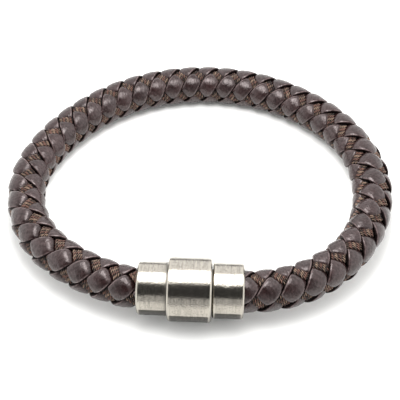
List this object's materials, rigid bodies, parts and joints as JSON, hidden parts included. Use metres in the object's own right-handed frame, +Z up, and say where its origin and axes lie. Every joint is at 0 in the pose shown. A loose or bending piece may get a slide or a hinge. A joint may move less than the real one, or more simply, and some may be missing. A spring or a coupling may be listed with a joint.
{
  "type": "braided leather bracelet",
  "caption": "Round braided leather bracelet, strips crossed by flat bundles of thread, closed by a stepped metal clasp, lying on its side.",
  "frame": {"origin": "on the table, under the middle of the box round the bracelet as it lies", "axes": "+X along the clasp, towards its right cap, +Y from the clasp towards the back of the loop, +Z up from the table"},
  "size_m": [0.0799, 0.0669, 0.0124],
  "materials": {
    "clasp_metal": "antique silver plate, finely brushed, worn bright on the rims and dark in the corners",
    "magnet": "plain nickel-plated magnet",
    "leather": "dark purple-brown dyed leather, smooth and half glossy",
    "thread": "brown waxed two-ply thread in flat bundles"
  },
  "bodies": {
    "root": {"clasp_socket": "clasp_metal", "clasp_plug": "clasp_metal", "clasp_magnet": "magnet", "leather_strip_1": "leather", "leather_strip_2": "leather", "leather_strip_3": "leather", "leather_strip_4": "leather", "thread_bundle_1": "thread", "thread_bundle_2": "thread", "thread_bundle_3": "thread", "thread_bundle_4": "thread"}
  },
  "joints": []
}
